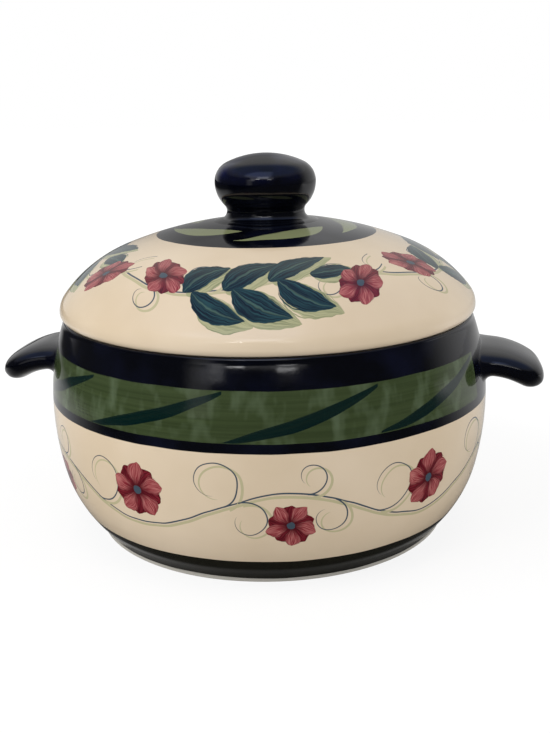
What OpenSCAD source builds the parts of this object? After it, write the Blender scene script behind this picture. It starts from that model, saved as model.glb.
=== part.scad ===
// Lidded casserole dish of glazed pottery: a round-bellied dish with two
// drooping lug handles, and a domed lid with a turned knob that lifts off.
// Millimetres. The foot stands on the table at z = 0, the handles lie along X.

/* [Dish] */
// Greatest outside radius of the dish, at its belly
belly_r = 110; // [98:0.5:122]
// Height of the belly above the table
belly_z = 64.5; // [60:0.5:70]
// Radius of curvature of the wall between the belly and the rim
upper_curve = 118; // [104:1:150]
// Radius of curvature of the wall below the belly
lower_curve = 143; // [126:1:160]
// Lean of the wall where it starts to turn in to the foot, in degrees
base_lean = 13; // [9:1:18]
// Radius of curvature of the wall where it turns in to the foot
base_curve = 59; // [53:1:70]
// Height of the rim above the table
rim_z = 108; // [102:0.5:114]
// Thickness of the dish wall
wall = 7; // [5:0.25:9]
// Rounding of the rim's edges
rim_round = 1.5; // [0.5:0.25:2]
// Height of the inside floor above the table
floor_z = 9; // [7:0.25:14]
// Radius of the curve between the inside floor and the wall
floor_curve = 25; // [15:1:32]

/* [Foot] */
// Outside radius of the foot ring on the table
foot_r = 89.5; // [82:0.5:91]
// Width of the foot ring
foot_w = 9; // [6:0.5:14]
// Height of the foot's upright edge
foot_edge = 1.6; // [1:0.1:3]
// Height at which the foot's bevel meets the wall
foot_h = 5; // [4:0.25:8]
// Depth of the recess inside the foot ring
recess_h = 3; // [1.5:0.25:4]

/* [Lid] */
// How far the lid's edge stands out past the rim
lid_overhang = 1.25; // [0.5:0.25:3]
// Height of the lid's widest line above its seat
lid_edge_h = 3.5; // [2.5:0.25:5]
// Rounding of the lid's edge above its widest line
edge_curve = 10.5; // [7.5:0.5:14]
// Lean of the lid where its edge ends and its shoulder starts, in degrees
edge_lean = 37.5; // [32:0.5:44]
// Radius of curvature of the lid's shoulder
shoulder_curve = 68; // [60:1:78]
// Lean of the lid where its shoulder ends and its dome starts, in degrees
shoulder_lean = 68.5; // [63:0.5:73]
// Thickness of the lid
lid_wall = 6.5; // [5:0.25:8]
// Thickness of the flange that drops into the mouth
flange_t = 5; // [4:0.25:7]
// Depth of the flange below the seat
flange_h = 9; // [6:0.5:14]
// Clearance between the flange and the mouth
flange_play = 1.5; // [0.75:0.25:3]
// Radius of the curve between the flange and the inside of the dome
hollow_curve = 12; // [8:0.5:16]

/* [Knob] */
// Greatest radius of the knob's head
knob_r = 25; // [22:0.5:28]
// Radius of curvature of the knob's top
top_curve = 45; // [38:1:54]
// Rounding between the knob's top and its widest line
brow_curve = 10.5; // [8:0.5:12.5]
// Radius of curvature under the knob's head
under_curve = 16; // [13:0.5:19]
// Radius of the knob's neck
neck_r = 19.25; // [17:0.25:21]
// Radius of the hollow round the neck
neck_curve = 4; // [3:0.25:6]
// Thickness of the knob's edge where it meets the lid
knob_edge = 0.5; // [0.3:0.1:2]

/* [Handles] */
// Drop from the rim to the middle of a handle where it leaves the wall
handle_drop = 24; // [16:0.5:28]
// Length of a handle from the wall to its tip, along its curve
handle_l = 30; // [26:0.5:40]
// Width of a handle
handle_w = 50; // [38:0.5:60]
// Thickness of a handle
handle_t = 14; // [10.5:0.25:16]
// Radius of curvature of a handle's droop
handle_curve = 41; // [32:1:70]
// Rounding of the tip's corners, seen from above
handle_corner = 14; // [10:0.5:16]
// Radius of the clay fillet where a handle meets the wall
handle_fillet = 5; // [2:0.25:6]

/* [Hidden] */
$fn = 144;

cream = "#E2D4B6";
navy = "#15162B";

// How far a tighter arc runs on inside the wider one that it meets, and how much
// larger it is made there, so that the two cross and leave no ledge
lap = 2;
hair = 0.005;

// A step of length r along a normal that leans up from level
function along(lean, r) = r * [cos(lean), sin(lean)];
// Radius at height z of a wall that follows an arc
function arc_r(centre, r, z) = centre[0] + sqrt(pow(r, 2) - pow(centre[1] - z, 2));

// Arc centres of the dish wall: the arcs run on from one another
upper_centre = [belly_r - upper_curve, belly_z];
lower_centre = [belly_r - lower_curve, belly_z];
base_centre = lower_centre + along(-base_lean, lower_curve - base_curve);
base_start = belly_z - lower_curve * sin(base_lean);

// Rim: where its rounding starts, and its radii there
rim_start = rim_z - rim_round;
rim_r = arc_r(upper_centre, upper_curve, rim_start);
mouth_r = arc_r(upper_centre, upper_curve - wall, rim_start);

// Curve of the inside floor, which ends where it meets the wall
lower_inside = lower_curve - wall;
base_inside = base_curve - wall;
turn_in = belly_z - lower_inside * sin(base_lean);
floor_reach = base_inside - floor_curve;
floor_drop = base_centre[1] - floor_z - floor_curve;
floor_run = sqrt(pow(floor_reach, 2) - pow(floor_drop, 2));
floor_centre = [base_centre[0] + floor_run, floor_z + floor_curve];
floor_end = base_centre[1] - floor_drop * base_inside / floor_reach;

// Lid: its seat lies on the rim, and edge, shoulder and dome run on from one another
lid_r = rim_r + lid_overhang;
widest_z = rim_z + lid_edge_h;
edge_centre = [lid_r - edge_curve, widest_z];
edge_end = edge_centre[1] + edge_curve * sin(edge_lean);
shoulder_centre = edge_centre + along(edge_lean, edge_curve - shoulder_curve);
shoulder_end = shoulder_centre + along(shoulder_lean, shoulder_curve);
dome_curve = shoulder_end[0] / cos(shoulder_lean);
dome_z = shoulder_end[1] - dome_curve * sin(shoulder_lean);
crown_z = dome_z + dome_curve;
flange_r = mouth_r - flange_play;
flange_low = rim_z - flange_h;

// Hollow under the lid
hollow_r = flange_r - flange_t;
hollow_x = hollow_r - hollow_curve;
shoulder_inside = shoulder_curve - lid_wall;
hollow_reach = shoulder_inside - hollow_curve;
hollow_rise = sqrt(pow(hollow_reach, 2) - pow(hollow_x - shoulder_centre[0], 2));
hollow_start = shoulder_centre[1] + hollow_rise;
hollow_end = shoulder_centre[1] + hollow_rise * shoulder_inside / hollow_reach;
inside_end = shoulder_centre[1] + shoulder_inside * sin(shoulder_lean);

// Knob: neck, under side and head run on from one another, upwards from the lid
cove_x = neck_r + neck_curve;
cove_z = dome_z + sqrt(pow(dome_curve + knob_edge + neck_curve, 2) - pow(cove_x, 2));
under_x = knob_r - under_curve;
under_rise = sqrt(pow(under_curve + neck_curve, 2) - pow(cove_x - under_x, 2));
cove_end = cove_z + under_rise * neck_curve / (under_curve + neck_curve);
head_z = cove_z + under_rise;
brow_x = knob_r - brow_curve;
top_z = head_z - sqrt(pow(top_curve - brow_curve, 2) - pow(brow_x, 2));
brow_end = top_z + (head_z - top_z) * top_curve / (top_curve - brow_curve);

// Handle: it starts inside the wall, far enough to be cut by it all across
handle_z = rim_z - handle_drop;
root_r = arc_r(upper_centre, upper_curve, handle_z);
root_half = handle_w / 2 + handle_fillet;
root_depth = root_r - sqrt(pow(root_r, 2) - pow(root_half, 2)) + wall / 2;
corner_start = handle_l - handle_corner;
// Length of the tip's rounding against half the thickness: 1 is round, more is longer
tip_length = 1.15;
tip_round = handle_t / 2 * tip_length;
// Squareness of a handle's section: 2 is an ellipse, more is squarer
section_power = 2.8;
// Shares of the root's fillet that a handle's sides and top have
side_flare = 0.5;
top_flare = 0.25;
// Points round a section, and sections along the fillet, the length and the tip
ring_points = 28;
fillet_steps = 4;
length_steps = 5;
tip_steps = 10;
// Share of the tip's rounding that the last section reaches
tip_share = 0.996;

// Part of a half-section from the axis to an arc that bulges outwards
module arc_slab(centre, r, low, high) {
    intersection() {
        translate(centre) circle(r);
        translate([0, low]) square([centre[0] + r + lap, high - low]);
    }
    if (centre[0] > 0) translate([0, low]) square([centre[0], high - low]);
}

// Part of a half-section from the axis to an arc that is hollowed inwards
module cove_slab(centre, r, low, high) {
    difference() {
        translate([0, low]) square([centre[0], high - low]);
        translate(centre) circle(r);
    }
}

// Half-section of the dish's outside, filled to the axis
module dish_outside() {
    wall_foot = arc_r(base_centre, base_curve + hair, foot_h) + hair;
    polygon([[0, 0], [foot_r, 0], [foot_r, foot_edge], [wall_foot, foot_h],
             [wall_foot, foot_h + lap], [0, foot_h + lap]]);
    arc_slab(base_centre, base_curve + hair, foot_h, base_start + lap);
    arc_slab(lower_centre, lower_curve, base_start, belly_z);
    arc_slab(upper_centre, upper_curve, belly_z - lap, rim_start);
    arc_slab([rim_r - rim_round, rim_start], rim_round + hair, rim_start - lap, rim_z);
}

// Half-section of the space inside the dish
module dish_inside() {
    arc_slab(floor_centre, floor_curve + 2 * hair, floor_z, floor_end + lap);
    arc_slab(base_centre, base_inside + hair, floor_end, turn_in + lap);
    arc_slab(lower_centre, lower_inside, turn_in, belly_z);
    arc_slab(upper_centre, upper_curve - wall, belly_z - lap, rim_z + lap);
    cove_slab([mouth_r + rim_round - hair, rim_start], rim_round, rim_start, rim_z + lap);
}

module dish_bowl() {
    color(cream) rotate_extrude() difference() {
        dish_outside();
        dish_inside();
        polygon([[0, -lap], [foot_r - foot_w, -lap], [foot_r - foot_w, 0],
                 [foot_r - foot_w - recess_h, recess_h], [0, recess_h]]);
    }
}

// Half-section of the lid's outside, filled to the axis, above its seat
module lid_outside() {
    arc_slab([lid_r - lid_edge_h, widest_z], lid_edge_h + 3 * hair, rim_z, widest_z + lap);
    arc_slab(edge_centre, edge_curve + 2 * hair, widest_z, edge_end + lap);
    arc_slab(shoulder_centre, shoulder_curve + hair, edge_end, shoulder_end[1] + lap);
    arc_slab([0, dome_z], dome_curve, shoulder_end[1], crown_z + lap);
}

// Half-section of the hollow under the lid
module lid_inside() {
    translate([0, flange_low]) square([hollow_r, hollow_start - flange_low]);
    arc_slab([hollow_x, hollow_start], hollow_curve + 2 * hair, hollow_start - lap, hollow_end + lap);
    arc_slab(shoulder_centre, shoulder_inside + hair, hollow_end, inside_end + lap);
    arc_slab([0, dome_z], dome_curve - lid_wall, inside_end, crown_z);
}

// Half-section of the flange, with a rounded lower edge
module lid_flange() {
    lip_r = flange_t / 2;
    translate([hollow_r + lip_r, flange_low + lip_r]) circle(lip_r);
    translate([hollow_r, flange_low + lip_r]) square([flange_t, flange_h - lip_r + lap]);
}

module lid_dome() {
    color(cream) rotate_extrude() {
        difference() {
            lid_outside();
            lid_inside();
        }
        lid_flange();
    }
}

module lid_knob() {
    color(navy) rotate_extrude() difference() {
        union() {
            cove_slab([cove_x, cove_z], neck_curve, crown_z - knob_r, cove_end);
            arc_slab([under_x, head_z], under_curve + hair, cove_end - lap, head_z);
            arc_slab([brow_x, head_z], brow_curve + 2 * hair, head_z - lap, brow_end + lap);
            arc_slab([0, top_z], top_curve + hair, brow_end, top_z + top_curve + lap);
        }
        translate([0, dome_z]) circle(dome_curve);
    }
}

// Middle line of a handle: its lean, radius and height at a distance from the wall
function lean(s) = max(s, 0) / handle_curve * 180 / PI;
function line_r(s) = root_r + min(s, 0) + handle_curve * sin(lean(s));
function line_z(s) = handle_z - handle_curve * (1 - cos(lean(s)));

// How far the root's fillet stands out, and what is left of a rounded end
function flare(s) = s > handle_fillet ? 0
    : handle_fillet - sqrt(pow(handle_fillet, 2) - pow(handle_fillet - max(s, 0), 2));
function left_of(r, s) = sqrt(pow(r, 2) - pow(max(s - handle_l + r, 0), 2));

function half_width(s) = handle_w / 2 - handle_corner + left_of(handle_corner, s)
    + side_flare * flare(s);
function half_thick(s) = handle_t / 2 * left_of(tip_round, s) / tip_round;
function rounded(x) = sign(x) * pow(abs(x), 2 / section_power);

// One closed section of a handle, square to its middle line
function handle_ring(s) = [for (i = [0 : ring_points - 1])
    let (across = rounded(cos(360 * i / ring_points)),
         up = rounded(sin(360 * i / ring_points)),
         rise = up * (half_thick(s) + (up < 0 ? 1 : top_flare) * flare(s)))
    [line_r(s) + rise * sin(lean(s)), across * half_width(s), line_z(s) + rise * cos(lean(s))]];

// Distances of the sections from the wall: root, fillet, length and rounded tip
handle_stops = concat([-root_depth],
    [for (i = [0 : fillet_steps]) handle_fillet * (1 - cos(90 * i / fillet_steps))],
    [for (i = [1 : length_steps]) handle_fillet + (corner_start - handle_fillet) * i / length_steps],
    [for (i = [1 : tip_steps]) corner_start + handle_corner * tip_share * sin(90 * i / tip_steps)]);

// A lug handle on the +X side, seated on the dish's outside
module lug_handle() {
    rings = len(handle_stops);
    points = [for (s = handle_stops) each handle_ring(s)];
    sides = [for (k = [0 : rings - 2], i = [0 : ring_points - 1])
        let (a = k * ring_points + i, b = k * ring_points + (i + 1) % ring_points)
        each [[a, b, b + ring_points], [a, b + ring_points, a + ring_points]]];
    root = [for (i = [ring_points - 1 : -1 : 0]) i];
    tip = [for (i = [0 : ring_points - 1]) (rings - 1) * ring_points + i];
    difference() {
        polyhedron(points, concat(sides, [root, tip]), convexity = 4);
        rotate_extrude() dish_outside();
    }
}

module handle_right() {
    color(navy) lug_handle();
}

module handle_left() {
    color(navy) rotate([0, 0, 180]) lug_handle();
}

dish_bowl();
handle_left();
handle_right();
lid_dome();
lid_knob();
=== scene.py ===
from math import asin, atan2, ceil, cos, degrees, hypot, pi, radians, sin, sqrt

import bmesh
import bpy
from mathutils import Matrix, Vector


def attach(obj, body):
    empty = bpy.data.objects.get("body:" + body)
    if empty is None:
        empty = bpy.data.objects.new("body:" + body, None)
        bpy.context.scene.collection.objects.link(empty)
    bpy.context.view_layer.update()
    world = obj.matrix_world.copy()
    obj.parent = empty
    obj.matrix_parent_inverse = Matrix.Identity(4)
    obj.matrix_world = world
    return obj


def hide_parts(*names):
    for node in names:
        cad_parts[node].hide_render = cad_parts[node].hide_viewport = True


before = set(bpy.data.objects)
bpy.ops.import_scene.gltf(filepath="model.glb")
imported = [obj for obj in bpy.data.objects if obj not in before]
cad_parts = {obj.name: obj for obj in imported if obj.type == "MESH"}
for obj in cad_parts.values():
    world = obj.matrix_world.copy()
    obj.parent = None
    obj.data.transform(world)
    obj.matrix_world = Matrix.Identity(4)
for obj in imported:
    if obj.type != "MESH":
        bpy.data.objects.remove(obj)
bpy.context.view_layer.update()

MM = 0.001

# Dish, as the solids have it
belly_r = 110
belly_z = 64.5
upper_curve = 118
lower_curve = 143
base_lean = 13
base_curve = 59
rim_z = 108
wall = 7
rim_round = 1.5
floor_z = 9
floor_curve = 25
foot_r = 89.5
foot_w = 9
foot_edge = 1.6
foot_h = 5
recess_h = 3

# Lid
lid_overhang = 1.25
lid_edge_h = 3.5
edge_curve = 10.5
edge_lean = 37.5
shoulder_curve = 68
shoulder_lean = 68.5
lid_wall = 6.5
flange_t = 5
flange_h = 9
flange_play = 1.5
hollow_curve = 12

# Knob
knob_r = 25
top_curve = 45
brow_curve = 10.5
under_curve = 16
neck_r = 19.25
neck_curve = 4
knob_edge = 0.5

# Handles
handle_z = rim_z - 24
handle_l = 30
handle_w = 50
handle_t = 14
handle_curve = 41
handle_corner = 14
handle_fillet = 5
tip_length = 1.15
section_power = 2.8
side_flare = 0.5
top_flare = 0.25

# Heights of the painted bands on the dish, and radius of the lid's dark cap
navy_low = 95
green_low = 73.4
line_low = 68.9
foot_band_top = 14.9
bare_clay_top = 2
cap_r = 54.5
# How far a band's edge strays, from its lowest to its highest
band_waver = 1.6
# Height above which the knob's glaze is painted bluer: painted light on its top
knob_lit_top_z = 173

# Camera: lens on a sensor as wide as the picture, and where it stands
sensor_w = 36
lens = 64.5
camera_distance = 510
camera_turn = 7.45
camera_height = 15.56
camera_roll = 1.14
target_z = 75.9
target_shift = 3


# Half-sections of the turned pieces
def polar(centre, radius, angle):
    """A point on a circle in a half-section, at an angle up from level."""
    return centre[0] + radius * cos(radians(angle)), centre[1] + radius * sin(radians(angle))


def arc(centre, radius, start, end, step=2.0):
    """Points along an arc, no more than a step or 7 degrees apart."""
    sweep = abs(end - start)
    count = max(ceil(radians(sweep) * radius / step), ceil(sweep / 7))
    return [polar(centre, radius, start + (end - start) * i / count) for i in range(count + 1)]


def line(start, end, step=4.0):
    """Points along a straight stretch."""
    count = ceil(hypot(end[0] - start[0], end[1] - start[1]) / step)
    return [tuple(a + (b - a) * i / count for a, b in zip(start, end)) for i in range(count + 1)]


def softened(corners, radius=0.5):
    """A path through corners, each but the first and last rounded by a small arc."""
    points = [corners[0]]
    for before, corner, after in zip(corners, corners[1:], corners[2:]):
        before, corner, after = Vector(before), Vector(corner), Vector(after)
        enter = corner + (before - corner).normalized() * radius
        leave = corner + (after - corner).normalized() * radius
        points += line(points[-1], enter)[1:]
        points += [tuple((enter.lerp(corner, t)).lerp(corner.lerp(leave, t), t)) for t in (0.33, 0.67, 1)]
    return points + line(points[-1], corners[-1])[1:]


def joined(*stretches):
    """One half-section from its stretches, and the length at which each named stretch ends."""
    points, ends, length = [], {}, 0
    for name, stretch in stretches:
        for point in stretch:
            step = hypot(point[0] - points[-1][0], point[1] - points[-1][1]) if points else 0
            if points and step < 1e-4:
                continue
            points.append(point)
            length += step
        ends[name] = length
    return points, ends


def arc_r(centre, radius, z):
    """Radius at height z of a wall that follows an arc."""
    return centre[0] + sqrt(radius ** 2 - (centre[1] - z) ** 2)


upper_centre = (belly_r - upper_curve, belly_z)
lower_centre = (belly_r - lower_curve, belly_z)
base_centre = polar(lower_centre, lower_curve - base_curve, -base_lean)
rim_start = rim_z - rim_round
rim_r = arc_r(upper_centre, upper_curve, rim_start)
mouth_r = arc_r(upper_centre, upper_curve - wall, rim_start)


def dish_half_section():
    """From the axis under the foot, up the outside, over the rim and down to the inside floor."""
    ring_r = foot_r - foot_w
    foot = [(0, recess_h), (ring_r - recess_h, recess_h), (ring_r, 0), (foot_r, 0), (foot_r, foot_edge),
            (arc_r(base_centre, base_curve, foot_h), foot_h)]
    base_inside = base_curve - wall
    reach = base_inside - floor_curve
    floor_angle = degrees(asin((floor_z + floor_curve - base_centre[1]) / reach))
    floor_centre = polar(base_centre, reach, floor_angle)
    rise = rim_start - belly_z
    base_angle = degrees(asin((foot_h - base_centre[1]) / base_curve))
    return joined(
        ("underside", softened(foot)),
        ("base", arc(base_centre, base_curve, base_angle, -base_lean)),
        ("belly", arc(lower_centre, lower_curve, -base_lean, 0)),
        ("outside", arc(upper_centre, upper_curve, 0, degrees(asin(rise / upper_curve)))),
        ("rim edge", arc((rim_r - rim_round, rim_start), rim_round, 0, 90)),
        ("rim", line((rim_r - rim_round, rim_z), (mouth_r + rim_round, rim_z))),
        ("mouth", arc((mouth_r + rim_round, rim_start), rim_round, 90, 180)),
        ("inside", arc(upper_centre, upper_curve - wall, degrees(asin(rise / (upper_curve - wall))), 0)),
        ("inside belly", arc(lower_centre, lower_curve - wall, 0, -base_lean)),
        ("inside base", arc(base_centre, base_inside, -base_lean, floor_angle)),
        ("floor curve", arc(floor_centre, floor_curve, floor_angle, -90)),
        ("floor", line((floor_centre[0], floor_z), (0, floor_z))),
    )


lid_r = rim_r + lid_overhang
widest_z = rim_z + lid_edge_h
edge_centre = (lid_r - edge_curve, widest_z)
shoulder_centre = polar(edge_centre, edge_curve - shoulder_curve, edge_lean)
shoulder_end = polar(shoulder_centre, shoulder_curve, shoulder_lean)
dome_curve = shoulder_end[0] / cos(radians(shoulder_lean))
dome_centre = (0, shoulder_end[1] - dome_curve * sin(radians(shoulder_lean)))


def lid_half_section():
    """From the crown over the dome, round the edge, along the seat and flange, and up into the hollow."""
    lip = flange_t / 2
    flange_r = mouth_r - flange_play
    hollow_r = flange_r - flange_t
    lip_z = rim_z - flange_h + lip
    hollow_x = hollow_r - hollow_curve
    inside = shoulder_curve - lid_wall
    reach = inside - hollow_curve
    rise = sqrt(reach ** 2 - (hollow_x - shoulder_centre[0]) ** 2)
    hollow_z = shoulder_centre[1] + rise
    turn = degrees(asin(rise / reach))
    return joined(
        ("dome", arc(dome_centre, dome_curve, 90, shoulder_lean)),
        ("shoulder", arc(shoulder_centre, shoulder_curve, shoulder_lean, edge_lean)),
        ("edge", arc(edge_centre, edge_curve, edge_lean, 0)),
        ("under edge", arc((lid_r - lid_edge_h, widest_z), lid_edge_h, 0, -90)),
        ("seat", line((lid_r - lid_edge_h, rim_z), (flange_r, rim_z))),
        ("flange", line((flange_r, rim_z), (flange_r, lip_z))),
        ("lip", arc((flange_r - lip, lip_z), lip, 0, -180)),
        ("hollow wall", line((hollow_r, lip_z), (hollow_r, hollow_z))),
        ("hollow", arc((hollow_x, hollow_z), hollow_curve, 0, turn)),
        ("inside shoulder", arc(shoulder_centre, inside, turn, shoulder_lean)),
        ("inside dome", arc(dome_centre, dome_curve - lid_wall, shoulder_lean, 90)),
    )


def knob_half_section():
    """From the knob's top down to its neck, feathered out on the lid and closed under the lid's skin."""
    cove_x = neck_r + neck_curve
    cove_z = dome_centre[1] + sqrt((dome_curve + knob_edge + neck_curve) ** 2 - cove_x ** 2)
    under_x = knob_r - under_curve
    head_z = cove_z + sqrt((under_curve + neck_curve) ** 2 - (cove_x - under_x) ** 2)
    brow_x = knob_r - brow_curve
    top_z = head_z - sqrt((top_curve - brow_curve) ** 2 - brow_x ** 2)
    brow_turn = degrees(atan2(head_z - top_z, brow_x))
    neck_turn = degrees(atan2(cove_z - head_z, cove_x - under_x))
    # Angle at which the neck's hollow ends, reach of the glaze's thin foot, and its depth in the lid
    cove_end = 262
    feather = 3.5
    sunk = 0.3
    cove = arc((cove_x, cove_z), neck_curve, neck_turn + 180, cove_end, step=0.6)
    skin = degrees(asin((cove[-1][0] + feather) / dome_curve))
    return joined(
        ("top", arc((0, top_z), top_curve, 90, brow_turn, step=1.0)),
        ("brow", arc((brow_x, head_z), brow_curve, brow_turn, 0, step=1.0)),
        ("under", arc((under_x, head_z), under_curve, 0, neck_turn, step=1.0)),
        ("cove", cove),
        ("foot", softened([cove[-1], polar(dome_centre, dome_curve, 90 - skin),
                           polar(dome_centre, dome_curve - sunk, 90 - skin)], radius=sunk / 2)),
        ("skin", arc(dome_centre, dome_curve - sunk, 90 - skin, 90)),
    )


# Nodes
def add(tree, kind, *values, **settings):
    """Adds a node with its settings. Values, sockets or nodes fill its inputs, in order or by name.
    A kind in capitals is an operation of the Math node."""
    if kind.isupper():
        settings["operation"] = kind
        kind = "ShaderNodeMath"
    node = tree.nodes.new(kind)
    for name, value in settings.items():
        setattr(node, name, value)
    open_inputs = [socket for socket in node.inputs if socket.enabled]
    by_name = values and isinstance(values[0], dict)
    inputs = values[0] if by_name else dict(enumerate(values))
    for key, value in inputs.items():
        socket = open_inputs[key] if isinstance(key, int) else next(s for s in open_inputs if s.name == key)
        if isinstance(value, bpy.types.Node):
            value = next(output for output in value.outputs if output.enabled)
        if isinstance(value, bpy.types.NodeSocket):
            tree.links.new(value, socket)
        else:
            socket.default_value = value
    return node


def new_tree(name, inputs, outputs, kind="ShaderNodeTree"):
    """An empty node tree with inputs and outputs named under their types, and its inputs' sockets."""
    tree = bpy.data.node_groups.new(name, kind)
    for side, sockets in (("INPUT", inputs), ("OUTPUT", outputs)):
        for socket, labels in sockets.items():
            for label in labels.split(", "):
                tree.interface.new_socket(label, in_out=side, socket_type="NodeSocket" + socket)
    return tree, add(tree, "NodeGroupInput").outputs


def srgb(code):
    """An sRGB hex colour as linear red, green, blue and alpha."""
    parts = [int(code[i:i + 2], 16) / 255 for i in (1, 3, 5)]
    return [p / 12.92 if p <= 0.04045 else ((p + 0.055) / 1.055) ** 2.4 for p in parts] + [1]


VECTOR = "ShaderNodeVectorMath"
MIX = "ShaderNodeMix"
RANGE = "ShaderNodeMapRange"
NOISE = "ShaderNodeTexNoise"
GROUP = "ShaderNodeGroup"
SPLIT = "ShaderNodeSeparateXYZ"
JOIN = "ShaderNodeCombineXYZ"
COORDS = "ShaderNodeTexCoord"
# Settings of a mix of colours and a range with soft ends
COLOURS = {"data_type": "RGBA"}
SOFT = {"interpolation_type": "SMOOTHSTEP"}


def new_object(name, data):
    """A new object in the scene."""
    thing = bpy.data.objects.new(name, data)
    bpy.context.scene.collection.objects.link(thing)
    return thing


def new_material(name):
    """A new material, and its tree with nothing in it yet."""
    material = bpy.data.materials.new(name)
    material.use_nodes = True
    material.node_tree.nodes.clear()
    return material, material.node_tree


# Turned clay
def turned_clay_tree():
    """A half-section swept round the axis, a little out of true. It keeps the length along it for paint."""
    tree, given = new_tree(
        "Turned clay",
        {"Geometry": "Half-section", "Int": "Rings, Segments", "Bool": "Downwards", "Material": "Glaze",
         "Float": "Wobble, Wobble size, Ridge, Ridge spacing, Seed"},
        {"Geometry": "Pot"}, kind="GeometryNodeTree")
    section = add(tree, "GeometryNodeMeshToCurve", {"Mesh": given["Half-section"]})
    sizes = {"Vertices X": given["Segments"], "Vertices Y": given["Rings"]}
    grid = add(tree, "GeometryNodeMeshGrid", sizes)
    index = add(tree, "GeometryNodeInputIndex")
    ring = add(tree, "MODULO", index, given["Rings"])
    column = add(tree, "DIVIDE", index, given["Rings"])
    column = add(tree, "FLOOR", column)
    last = add(tree, "SUBTRACT", given["Segments"], 1.0)
    turn = add(tree, "DIVIDE", column, last)
    angle = add(tree, "MULTIPLY", turn, 2 * pi)

    spot = add(tree, "GeometryNodeInputPosition")
    spot = add(tree, "GeometryNodeSampleIndex", {"Geometry": section, "Value": spot, "Index": ring},
               data_type="FLOAT_VECTOR")
    spot = add(tree, SPLIT, spot)
    length = add(tree, "GeometryNodeSplineParameter").outputs["Length"]
    length = add(tree, "GeometryNodeSampleIndex", {"Geometry": section, "Value": length, "Index": ring})
    length = add(tree, "MULTIPLY", length, 1 / MM)

    around = add(tree, "COSINE", angle)
    across = add(tree, "SINE", angle)
    spoke = add(tree, JOIN, around, across)
    height = add(tree, JOIN, {2: spot.outputs["Z"]})
    true_place = add(tree, VECTOR, spoke, spot.outputs["X"], height, operation="MULTIPLY_ADD")
    scale = add(tree, "DIVIDE", 1.0, given["Wobble size"])
    wobble = add(tree, NOISE, {"Vector": true_place, "W": given["Seed"], "Scale": scale, "Detail": 1.0},
                 noise_dimensions="4D")
    wobble = add(tree, "SUBTRACT", wobble, 0.5)
    wobble = add(tree, "MULTIPLY", wobble, given["Wobble"])
    spiral = add(tree, "DIVIDE", length, given["Ridge spacing"])
    spiral = add(tree, "MULTIPLY_ADD", spiral, 2 * pi, angle)
    spiral = add(tree, "SINE", spiral)
    out = add(tree, "MULTIPLY_ADD", spiral, given["Ridge"], wobble)
    # Near the axis the clay runs true, so that the pole stays closed
    true_r = 20
    off_axis = add(tree, "MULTIPLY", spot.outputs["X"], 1 / (true_r * MM), use_clamp=True)
    radius = add(tree, "MULTIPLY_ADD", out, off_axis, spot.outputs["X"])
    place = add(tree, VECTOR, spoke, radius, height, operation="MULTIPLY_ADD")

    pot = add(tree, "GeometryNodeStoreNamedAttribute", {"Geometry": grid, "Name": "along", "Value": length})
    pot = add(tree, "GeometryNodeSetPosition", {"Geometry": pot, "Position": place})
    pot = add(tree, "GeometryNodeMergeByDistance", {"Geometry": pot, "Distance": 1e-6})
    pot = add(tree, "GeometryNodeFlipFaces", {"Mesh": pot, "Selection": given["Downwards"]})
    pot = add(tree, "GeometryNodeSetShadeSmooth", {"Geometry": pot})
    pot = add(tree, "GeometryNodeRealizeInstances", {"Geometry": pot})
    pot = add(tree, "GeometryNodeSetMaterial", {"Geometry": pot, "Material": given["Glaze"]})
    add(tree, "NodeGroupOutput", {"Pot": pot})
    return tree


def turned_piece(name, points, tree, make, seed, glaze):
    """A plain mesh of what the tree turns from a half-section, with a dict of its other inputs."""
    mesh = bpy.data.meshes.new(name)
    places = [(r * MM, 0, z * MM) for r, z in points]
    mesh.from_pydata(places, [(i, i + 1) for i in range(len(points) - 1)], [])
    piece = new_object(name, mesh)
    # A section that runs down from a crown faces inwards, so the tree flips it
    downwards = points[0][1] > points[-1][1]
    values = dict(make, Rings=len(points), Downwards=downwards, Seed=seed, Glaze=glaze)
    modifier = piece.modifiers.new("Turned clay", "NODES")
    modifier.node_group = tree
    for item in tree.interface.items_tree:
        if item.in_out == "INPUT" and item.name in values:
            modifier[item.identifier] = values[item.name]
    evaluated = piece.evaluated_get(bpy.context.evaluated_depsgraph_get())
    turned = bpy.data.meshes.new_from_object(evaluated)
    piece.modifiers.remove(modifier)
    piece.data = turned
    turned.name = name
    bpy.data.meshes.remove(mesh)
    return piece


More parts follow.
